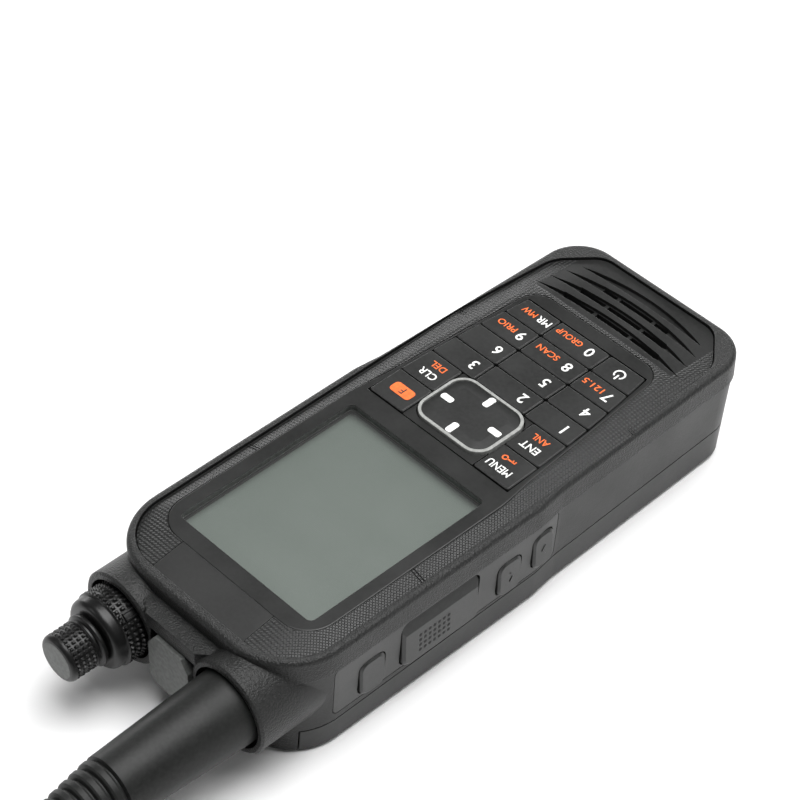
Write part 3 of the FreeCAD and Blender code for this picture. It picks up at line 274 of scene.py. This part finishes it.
def display_glass():
    """Unlit liquid crystal: grey green, with the faint grid of its dots."""
    finish = Finish("lcd", (0.079, 0.099, 0.085), 0.34, drift=0.01, wear=0, bevel=0, flecks=0.02)
    pitch = 0.42 * MM
    for axis in ("X", "Y"):
        phase = math_node(finish.tree, "MULTIPLY", finish.coordinate(axis), math.tau / pitch)
        finish.add_height(math_node(finish.tree, "COSINE", phase), 0.0012 * MM)
    finish.shader.inputs["Coat Weight"].default_value = 0.6
    finish.shader.inputs["Coat Roughness"].default_value = 0.12
    return finish.done()


def speaker_weave():
    """Woven cloth behind the grille."""
    pitch = 0.5 * MM
    finish = Finish("cloth", (0.004, 0.004, 0.004), 0.9, wear=0, bevel=0)
    tree = finish.tree
    threads = []
    for axis in ("X", "Y"):
        phase = math_node(tree, "MULTIPLY", finish.coordinate(axis), math.tau / pitch)
        threads.append(math_node(tree, "SINE", phase))
    finish.add_height(math_node(tree, "MULTIPLY", threads[0], threads[1]), 0.06 * MM)
    return finish.done()


def brushed(name, colour, roughness, axis):
    """Turned or brushed metal with fine scratches along one direction."""
    finish = Finish(name, colour, roughness, metallic=1.0, drift=0.06, wear=0.15, bevel=0.1 * MM)
    stretch = add_node(finish.tree, "ShaderNodeMapping")
    stretch.inputs["Scale"].default_value = tuple(0.05 if name_of == axis else 1.0 for name_of in "XYZ")
    finish.tree.links.new(finish.place, stretch.inputs["Vector"])
    finish.add_height(noise(finish.tree, stretch.outputs["Vector"], 0.12 * MM, 2.0), 0.006 * MM)
    return finish.done()


def printed(name, colour):
    """Printing ink, a little uneven."""
    finish = Finish(name, colour, 0.55, drift=0.05, wear=0, bevel=0)
    finish.grain(0.12 * MM, 0.004 * MM)
    return finish.done()


def build_finishes():
    return {
        "case_plastic": case_plastic(),
        "frame_plastic": frame_plastic(),
        "smooth_plastic": satin("smooth_plastic", BLACK, 0.36, 0.006, wear=0.7, bevel=0.15 * MM),
        "window": window_clear(),
        "lcd": display_glass(),
        "inner_plastic": satin("inner_plastic", (0.012, 0.012, 0.012), 0.6),
        "key_plastic": satin("key_plastic", (0.015, 0.0154, 0.015), 0.36, 0.007, wear=0.9, bevel=0.22 * MM),
        "ring": satin("ring", (0.27, 0.275, 0.265), 0.38, 0.004, drift=0.05, wear=0.2, bevel=0.1 * MM),
        "key_rubber": satin("key_rubber", (0.014, 0.0145, 0.014), 0.40, 0.008, wear=0.6),
        "side_key_plastic": satin("side_key_plastic", (0.015, 0.0155, 0.015), 0.38, 0.012, wear=1.0,
                                  bevel=0.3 * MM),
        "board": satin("board", (0.01, 0.07, 0.03), 0.45, 0.01, wear=0.2),
        "shield": brushed("shield", (0.62, 0.62, 0.6), 0.35, "Y"),
        "chassis_metal": satin("chassis_metal", (0.42, 0.42, 0.41), 0.5, 0.03, metallic=1.0, wear=0.2),
        "speaker_metal": brushed("speaker_metal", (0.35, 0.35, 0.34), 0.4, "X"),
        "cloth": speaker_weave(),
        "connector_metal": brushed("connector_metal", (0.66, 0.64, 0.58), 0.28, "Y"),
        "shaft_metal": brushed("shaft_metal", (0.58, 0.57, 0.55), 0.3, "Y"),
        "antenna_rubber": satin("antenna_rubber", (0.012, 0.0125, 0.012), 0.45, 0.012, 0.5, wear=0.5,
                                specular=0.22),
        "knob_plastic": satin("knob_plastic", (0.006, 0.006, 0.006), 0.34, 0.006, wear=0.9, bevel=0.1 * MM,
                              specular=0.35),
        "cover_rubber": satin("cover_rubber", (0.10, 0.105, 0.10), 0.55, 0.012, 0.5, wear=0.3,
                              bevel=0.25 * MM),
        "battery_plastic": satin("battery_plastic", (0.010, 0.0103, 0.010), 0.46, 0.02, 0.4, wear=0.9,
                                 bevel=0.3 * MM),
        "cell": satin("cell", (0.05, 0.09, 0.2), 0.4, wear=0.1),
        "brass": brushed("brass", (0.75, 0.55, 0.25), 0.3, "Z"),
        "screw_steel": brushed("screw_steel", (0.35, 0.35, 0.36), 0.32, "X"),
        # Lighter grey than the black plastic: a painted highlight for the bright line along the window's
        # edge.
        "polished_edge_painted_highlight": satin("polished_edge_painted_highlight", (0.05, 0.052, 0.05), 0.16, 0.002, wear=0),
    }


def paint_cad_nodes(finishes):
    for part in frame["record"]["subparts"]:
        node = frame["nodes"][part["node"]]
        node.data.materials.clear()
        node.data.materials.append(finishes[part["material_slot"]])


# ---- Piece helpers ----
def add_piece(name, mesh, material, body, smooth_angle=None):
    """Mesh in the row frame made into a piece that rides on a body."""
    mesh.materials.append(material)
    if smooth_angle is not None:
        for face in mesh.polygons:
            face.use_smooth = True
        mesh.set_sharp_from_angle(angle=math.radians(smooth_angle))
    piece = bpy.data.objects.new(name, mesh)
    bpy.context.scene.collection.objects.link(piece)
    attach(piece, body)
    return piece


def mesh_from(name, points, faces):
    mesh = bpy.data.meshes.new(name)
    mesh.from_pydata(points, [], faces)
    work = bmesh.new()
    work.from_mesh(mesh)
    bmesh.ops.recalc_face_normals(work, faces=work.faces)
    work.to_mesh(mesh)
    work.free()
    return mesh


def prism(name, outline, low, high, bevel=0.0):
    """Closed solid on a flat outline of (x, y) points, with its upper edge bevelled."""
    work = bmesh.new()
    lower = [work.verts.new((x, y, low)) for x, y in outline]
    upper = [work.verts.new((x, y, high)) for x, y in outline]
    work.faces.new(list(reversed(lower)))
    work.faces.new(upper)
    count = len(outline)
    for i in range(count):
        j = (i + 1) % count
        work.faces.new((lower[i], lower[j], upper[j], upper[i]))
    if bevel:
        edges = [edge for edge in work.edges if all(vert in upper for vert in edge.verts)]
        bmesh.ops.bevel(work, geom=edges, offset=bevel, segments=3, profile=0.5, affect="EDGES")
    bmesh.ops.recalc_face_normals(work, faces=work.faces)
    mesh = bpy.data.meshes.new(name)
    work.to_mesh(mesh)
    work.free()
    return mesh


def rounded_rectangle(x, y, width, height, radius, steps=8):
    points = []
    corners = ((1, 1, 0), (-1, 1, 90), (-1, -1, 180), (1, -1, 270))
    for side_x, side_y, start in corners:
        centre_x = x + side_x * (width / 2 - radius)
        centre_y = y + side_y * (height / 2 - radius)
        for step in range(steps + 1):
            angle = math.radians(start + 90 * step / steps)
            points.append((centre_x + radius * math.cos(angle), centre_y + radius * math.sin(angle)))
    return points


def arc_band(x, y, radius, width, start, end, steps=40):
    """Outline of a curved bar, from one angle to another in degrees."""
    outer, inner = [], []
    for step in range(steps + 1):
        angle = math.radians(start + (end - start) * step / steps)
        ray = (math.cos(angle), math.sin(angle))
        outer.append((x + (radius + width / 2) * ray[0], y + (radius + width / 2) * ray[1]))
        inner.append((x + (radius - width / 2) * ray[0], y + (radius - width / 2) * ray[1]))
    return outer + inner[::-1]


def lettering(name, text, x, y, height, width=None, boldness=0.012):
    """Flat extruded lettering centred on (x, y), as tall as asked, and as wide if a width is given."""
    curve = bpy.data.curves.new(name + "_line", "FONT")
    curve.body = text
    curve.extrude = 0.5
    curve.offset = boldness
    curve.resolution_u = 4
    holder = bpy.data.objects.new(name + "_line", curve)
    bpy.context.scene.collection.objects.link(holder)
    bpy.context.view_layer.update()
    shaped = holder.evaluated_get(bpy.context.evaluated_depsgraph_get())
    mesh = bpy.data.meshes.new_from_object(shaped)
    bpy.data.objects.remove(holder)
    xs = [vertex.co.x for vertex in mesh.vertices]
    ys = [vertex.co.y for vertex in mesh.vertices]
    scale = height / (max(ys) - min(ys))
    scale_x = width / (max(xs) - min(xs)) if width else scale
    middle = Vector(((max(xs) + min(xs)) / 2, (max(ys) + min(ys)) / 2, 0))
    turn = Matrix.Translation((x, y, 0)) @ Matrix.Diagonal((scale_x, scale, PRINT_THICKNESS, 1))
    mesh.transform(turn @ Matrix.Translation(-middle))
    mesh.materials.clear()
    return mesh


def top_of(node):
    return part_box(node)[1].z


# ---- Keypad legends ----
DIGITS = {                       # numeral: (x, y) of its centre, in mm
    "1": (-16.9, -23.7), "2": (-3.9, -24.0), "3": (10.9, -23.8),
    "4": (-16.5, -30.8), "5": (-3.8, -31.1), "6": (10.7, -30.9),
    "7": (-16.2, -37.8), "8": (-3.7, -38.2), "9": (10.4, -38.0),
    "0": (-3.7, -45.3),
}
WHITE_WORDS = (                  # (word, x, y, width, key), in mm
    ("MENU", -15.4, -5.35, 6.5, "key_menu"), ("ENT", -15.65, -14.45, 5.0, "key_enter"),
    ("CLR", 15.75, -14.4, 4.8, "key_clear"), ("MR", 10.3, -45.15, 3.7, "key_memory"),
)
ORANGE_WORDS = (
    ("ANL", -15.7, -17.65, 4.5, "key_enter"), ("DEL", 15.7, -17.6, 4.2, "key_clear"),
    ("121.5", -11.6, -38.3, 5.7, "key_7"), ("SCAN", 2.55, -38.65, 6.2, "key_8"),
    ("PRIO", 15.0, -38.4, 5.3, "key_9"), ("GROUP", 2.75, -45.7, 7.4, "key_0"),
    ("MW", 14.65, -45.2, 3.9, "key_memory"),
)


FUNCTION_PILL = (15.55, -6.6, 5.9, 3.1)   # x, y, width, height in mm
FUNCTION_PILL_CORNER = 0.9
FUNCTION_LETTER_HEIGHT = 1.9 * MM
POWER_SYMBOL = (-13.2, -45.0)    # mm
LOCK_SYMBOL = (-15.3, -8.55)     # mm


def print_on(node, mesh, ink):
    """Put printing on top of a key, standing half its thickness into the surface."""
    mesh.transform(Matrix.Translation((0, 0, top_of(node) + PRINT_THICKNESS / 2)))
    return add_piece(mesh.name, mesh, ink, frame["nodes"][node]["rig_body"])


def flat_shape(name, outline):
    return prism(name, [(x * MM, y * MM) for x, y in outline], -PRINT_THICKNESS / 2, PRINT_THICKNESS / 2)


def key_legends(white, orange, dark):
    for digit, (x, y) in DIGITS.items():
        print_on("key_" + digit, lettering("numeral_" + digit, digit, x * MM, y * MM, WHITE_HEIGHT), white)
    for text, x, y, width, node in WHITE_WORDS:
        name = "word_" + text.lower()
        print_on(node, lettering(name, text, x * MM, y * MM, WORD_HEIGHT, width * MM), white)
    for text, x, y, width, node in ORANGE_WORDS:
        name = "second_" + text.lower().replace(".", "_")
        print_on(node, lettering(name, text, x * MM, y * MM, SMALL_HEIGHT, width * MM), orange)
    power_x, power_y = POWER_SYMBOL
    bar = rounded_rectangle(power_x, power_y + 1.1, 0.42, 1.7, 0.15)
    print_on("key_power", flat_shape("power_arc", arc_band(power_x, power_y, 1.25, 0.42, 125, 415)), white)
    print_on("key_power", flat_shape("power_bar", bar), white)
    key_x, key_y = LOCK_SYMBOL
    blade = rounded_rectangle(key_x - 0.6, key_y, 2.4, 0.36, 0.1)
    print_on("key_menu", flat_shape("lock_bow", arc_band(key_x + 1.15, key_y, 0.6, 0.34, 0, 359)), orange)
    print_on("key_menu", flat_shape("lock_blade", blade), orange)
    for number, offset in enumerate((-1.6, -0.9)):
        tooth = rounded_rectangle(key_x + offset, key_y - 0.35, 0.3, 0.6, 0.1)
        print_on("key_menu", flat_shape("lock_tooth_" + str(number), tooth), orange)
    outline = rounded_rectangle(*FUNCTION_PILL, FUNCTION_PILL_CORNER)
    pill = prism("function_pill", [(x * MM, y * MM) for x, y in outline], -PRINT_THICKNESS,
                 2 * PRINT_THICKNESS, 0.02 * MM)
    print_on("key_function", pill, orange)
    x, y = FUNCTION_PILL[:2]
    letter = lettering("word_f", "F", x * MM, y * MM, FUNCTION_LETTER_HEIGHT)
    letter.transform(Matrix.Translation((0, 0, 2 * PRINT_THICKNESS)))
    print_on("key_function", letter, dark)


def pad_marks(white):
    """Four light bars let into the direction pad."""
    pad_low, pad_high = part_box("nav_pad")
    middle = (pad_low + pad_high) / 2
    reach_x, reach_y = 7.25 * MM, 5.6 * MM
    length, width = 3.3 * MM, 1.65 * MM
    places = (("up", 0, reach_y, width, length), ("down", 0, -reach_y, width, length),
              ("left", -reach_x, 0, length, width), ("right", reach_x, 0, length, width))
    for name, x, y, size_x, size_y in places:
        outline = rounded_rectangle(middle.x + x, middle.y + y, size_x, size_y, 0.5 * MM)
        bar = prism("pad_bar_" + name, outline, pad_high.z - 0.35 * MM, pad_high.z + 0.05 * MM, 0.12 * MM)
        add_piece(bar.name, bar, white, "direction_pad", 40)


# ---- Knurled knobs ----
def flat_topped(phase):
    """Wave between 0 and 1 with flat tops, once for each unit of phase."""
    value = 0.5 + 0.5 * math.cos(math.tau * phase)
    value = min(max(1.7 * value - 0.45, 0.0), 1.0)
    return value * value * (3 - 2 * value)


def turned_points(profile, fine_from, fine_to, fine_step):
    """Profile of (y, radius) with its knurled stretch divided finely."""
    points = []
    for (y, radius), (next_y, next_radius) in zip(profile, profile[1:]):
        points.append((y, radius))
        if fine_from - 1e-9 <= y and next_y <= fine_to + 1e-9 and next_y > y:
            count = max(int(round((next_y - y) / fine_step)), 1)
            for step in range(1, count):
                share = step / count
                points.append((y + (next_y - y) * share, radius + (next_radius - radius) * share))
    points.append(profile[-1])
    return points


def knurled_knob(name, axis_x, axis_z, profile, band, ribs, rows, depth, closed_loop, mark=None):
    """Solid of revolution about a line parallel to Y. Ribs along the band are cut into short rows.

    The profile is in mm. A closed loop goes round a bore, and an open one starts and ends on the axis.
    """
    band_low, band_high = band
    per_rib = 8
    around = ribs * per_rib
    points = turned_points(profile, band_low, band_high, (band_high - band_low) / (rows * 8))
    vertices, faces = [], []
    for y, radius in points:
        in_band = band_low <= y <= band_high and radius > 0.8 * max(r for _, r in profile)
        row_wave = flat_topped((y - band_low) / (band_high - band_low) * rows + 0.5) if in_band else 1.0
        edge = min(y - band_low, band_high - y) / 0.25
        for step in range(around):
            angle = math.tau * step / around
            cut = 0.0
            if in_band:
                cut = depth * (1 - flat_topped(step / per_rib) * row_wave) * min(max(edge, 0.0), 1.0)
                if mark:
                    cut = marked(cut, angle, y, radius, mark)
            reach = radius - cut
            across, up = reach * math.sin(angle), reach * math.cos(angle)
            vertices.append(((axis_x + across) * MM, y * MM, (axis_z + up) * MM))
    rings = len(points)
    last = rings if closed_loop else rings - 1
    for ring in range(last):
        first_row, second_row = ring * around, ((ring + 1) % rings) * around
        for step in range(around):
            after = (step + 1) % around
            faces.append((first_row + step, first_row + after, second_row + after, second_row + step))
    mesh = mesh_from(name, vertices, faces)
    work = bmesh.new()
    work.from_mesh(mesh)
    bmesh.ops.remove_doubles(work, verts=work.verts, dist=1e-7)
    bmesh.ops.recalc_face_normals(work, faces=work.faces)
    work.to_mesh(mesh)
    work.free()
    return mesh


def marked(cut, angle, y, radius, mark):
    """Raised outline of a pointer mark, with a plain margin inside and around it."""
    middle_angle, middle_y, half_width, half_length = mark
    across = abs((angle - middle_angle + math.pi) % math.tau - math.pi) * radius
    along = abs(y - middle_y)
    outline = 0.28
    if across > half_width + outline or along > half_length + outline:
        return cut
    on_line = across > half_width - outline or along > half_length - outline
    return 0.0 if on_line and across <= half_width and along <= half_length else 0.4


# Profiles are (y, radius), and bands are the knurled stretch of y, all in mm.
DIAL_PROFILE = (
    (68.4, 3.0), (68.4, 7.4), (69.0, 8.4), (69.2, 8.7), (77.2, 8.7), (77.4, 8.4), (77.7, 8.25),
    (79.0, 8.2), (79.6, 8.02), (80.1, 7.6), (80.3, 7.1), (80.3, 3.0),
)
DIAL_BAND = (69.2, 77.2)
DIAL_MARK = (math.radians(-38), 73.6, 0.95, 2.2)     # angle, middle y, half width, half length
VOLUME_PROFILE = (
    (87.0, 0.0), (87.0, 1.5), (80.9, 1.5), (80.9, 5.6), (81.05, 5.95), (81.3, 6.1), (81.8, 6.1),
    (82.0, 5.95), (82.3, 5.2), (82.7, 5.2), (82.95, 5.45), (83.2, 5.55), (88.5, 5.52),
    (88.9, 5.45), (89.3, 5.25), (89.55, 5.0), (89.7, 4.7), (89.7, 0.0),
)
VOLUME_BAND = (83.2, 88.5)
END_DISC_RADIUS = 4.3 * MM


def axis_of(node):
    low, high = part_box(node)
    return (low.x + high.x) / 2 / MM, (low.z + high.z) / 2 / MM


def knobs(finishes):
    """Both knobs with real knurling, in place of their plain solids."""
    x, z = axis_of("dial_shaft")
    dial = knurled_knob("dial_knurled", x, z, DIAL_PROFILE, DIAL_BAND, 42, 5, 0.62, True, DIAL_MARK)
    piece = add_piece("dial_knurled", dial, finishes["knob_plastic"], "dial", 35)
    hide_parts("dial_knob")
    x, z = axis_of("volume_shaft")
    volume = knurled_knob("volume_knurled", x, z, VOLUME_PROFILE, VOLUME_BAND, 32, 4, 0.5, False)
    piece = add_piece("volume_knurled", volume, finishes["knob_plastic"], "volume", 35)
    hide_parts("volume_knob")
    steps = 64
    angles = [math.tau * step / steps for step in range(steps)]
    outline = [(END_DISC_RADIUS * math.cos(angle), END_DISC_RADIUS * math.sin(angle)) for angle in angles]
    cap = prism("volume_end_disc", outline, -0.02 * MM, 0.03 * MM, 0.02 * MM)
    end_y = VOLUME_PROFILE[-1][0]
    cap.transform(Matrix.Translation((x * MM, end_y * MM, z * MM)) @ Matrix.Rotation(-math.pi / 2, 4, "X"))
    add_piece("volume_end_disc", cap, finishes["cover_rubber"], "volume", 40)


# ---- Display opening ----
WINDOW_FLANGE = 1.05 * MM        # the window reaches this far under the panel
EDGE_WIDTH = 0.3 * MM
EDGE_DEPTH = 1.2 * MM


def display_chamfer(finishes):
    """Polished edge round the opening of the panel, coloured lighter grey than the black plastic as a
    painted highlight along the window's rim.
    """
    low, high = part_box("display_window")
    panel_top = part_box("front_panel")[1].z
    width = (high.x - low.x) - 2 * WINDOW_FLANGE
    height = (high.y - low.y) - 2 * WINDOW_FLANGE
    middle = (low + high) / 2
    outer = rounded_rectangle(middle.x, middle.y, width + EDGE_WIDTH, height + EDGE_WIDTH, 1.5 * MM)
    inner = rounded_rectangle(middle.x, middle.y, width - EDGE_WIDTH, height - EDGE_WIDTH, 1.2 * MM)
    foot = panel_top - EDGE_DEPTH
    levels = ((outer, panel_top + 0.01 * MM), (inner, panel_top - 0.35 * MM), (inner, foot), (outer, foot))
    points = [(x, y, z) for outline, z in levels for x, y in outline]
    count = len(outer)
    faces = []
    for level in range(len(levels)):
        after = (level + 1) % len(levels)
        for i in range(count):
            j = (i + 1) % count
            faces.append((level * count + i, level * count + j, after * count + j, after * count + i))
    mesh = mesh_from("display_edge", points, faces)
    add_piece("display_edge", mesh, finishes["polished_edge_painted_highlight"], "radio", 30)


# ---- Side keys ----
def raised_outline(name, outline, face_x, thickness):
    """Outline of (y, z) points raised from a side key."""
    mesh = prism(name, outline, 0.0, thickness, thickness / 3)
    turn = Matrix(((0, 0, -1, face_x), (1, 0, 0, 0), (0, 1, 0, 0), (0, 0, 0, 1)))
    mesh.transform(turn)
    return mesh


def side_marks(finishes):
    """Raised chevrons on the two small side keys."""
    for node, direction in (("side_key_down", -1), ("side_key_up", 1)):
        low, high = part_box(node)
        middle_y, middle_z = (low.y + high.y) / 2, (low.z + high.z) / 2
        half, width, rise = 1.25 * MM, 0.45 * MM, 0.8 * MM
        outline = [(-rise, half), (0, 0), (-rise, -half)]
        outline += [(y + width, z) for y, z in reversed(outline)]
        outline = [(middle_y + direction * (y + rise / 2), middle_z + z) for y, z in outline]
        mesh = raised_outline(node + "_chevron", outline, low.x + 0.05 * MM, 0.2 * MM)
        add_piece(mesh.name, mesh, finishes["side_key_plastic"], node)


# ---- Stage ----
def look_at(obj, target):
    direction = Vector(target) - obj.location
    obj.rotation_euler = direction.to_track_quat("-Z", "Y").to_euler()


def add_camera():
    azimuth, elevation = math.radians(CAMERA_AZIMUTH), math.radians(CAMERA_ELEVATION)
    back = Vector((math.sin(azimuth) * math.cos(elevation), -math.cos(azimuth) * math.cos(elevation),
                   math.sin(elevation)))
    level = (-back).cross(Vector((0, 0, 1))).normalized()
    upright = level.cross(-back)
    roll = math.radians(CAMERA_ROLL)
    right = math.cos(roll) * level + math.sin(roll) * upright
    up = -math.sin(roll) * level + math.cos(roll) * upright
    data = bpy.data.cameras.new("camera")
    data.lens = CAMERA_LENS
    data.sensor_width = 36.0
    data.clip_start = 0.01
    camera = bpy.data.objects.new("camera", data)
    bpy.context.scene.collection.objects.link(camera)
    turn = Matrix((right, up, back)).transposed().to_4x4()
    camera.matrix_world = Matrix.Translation(CAMERA_PLACE) @ turn
    bpy.context.scene.camera = camera


def add_lights():
    for name, place, target, width, height, power in LIGHTS:
        data = bpy.data.lights.new(name, "AREA")
        data.shape = "RECTANGLE"
        data.size = width
        data.size_y = height
        data.energy = power
        light = bpy.data.objects.new(name, data)
        bpy.context.scene.collection.objects.link(light)
        light.location = place
        look_at(light, target)
    world = bpy.data.worlds.new("studio")
    world.use_nodes = True
    world.node_tree.nodes["Background"].inputs["Color"].default_value = (1, 1, 1, 1)
    world.node_tree.nodes["Background"].inputs["Strength"].default_value = WORLD_STRENGTH
    bpy.context.scene.world = world


def add_floor():
    half = FLOOR_SIZE / 2
    corners = [(-half, -half, 0), (half, -half, 0), (half, half, 0), (-half, half, 0)]
    mesh = mesh_from("floor", corners, [(0, 1, 2, 3)])
    material = bpy.data.materials.new("floor_paper")
    material.use_nodes = True
    tree = material.node_tree
    shader = tree.nodes["Principled BSDF"]
    place = add_node(tree, "ShaderNodeTexCoord").outputs["Object"]
    cloud = span(tree, noise(tree, place, 0.3, 2.0), 0.3, 0.7)
    tone = mixed_colour(tree, cloud, (0.88, 0.88, 0.88), (0.91, 0.91, 0.91))
    tree.links.new(tone, shader.inputs["Base Color"])
    shader.inputs["Roughness"].default_value = 0.8
    shader.inputs["Specular IOR Level"].default_value = 0.1
    mesh.materials.append(material)
    floor = bpy.data.objects.new("floor", mesh)
    bpy.context.scene.collection.objects.link(floor)


def main():
    bpy.context.scene.view_settings.view_transform = "Standard"
    add_camera()
    add_lights()
    add_floor()
    finishes = build_finishes()
    white = printed("white_ink", (0.74, 0.75, 0.73))
    orange = printed("orange_ink", (0.78, 0.13, 0.02))
    dark = printed("dark_ink", (0.02, 0.015, 0.012))
    paint_cad_nodes(finishes)
    key_legends(white, orange, dark)
    pad_marks(white)
    knobs(finishes)
    display_chamfer(finishes)
    side_marks(finishes)


main()
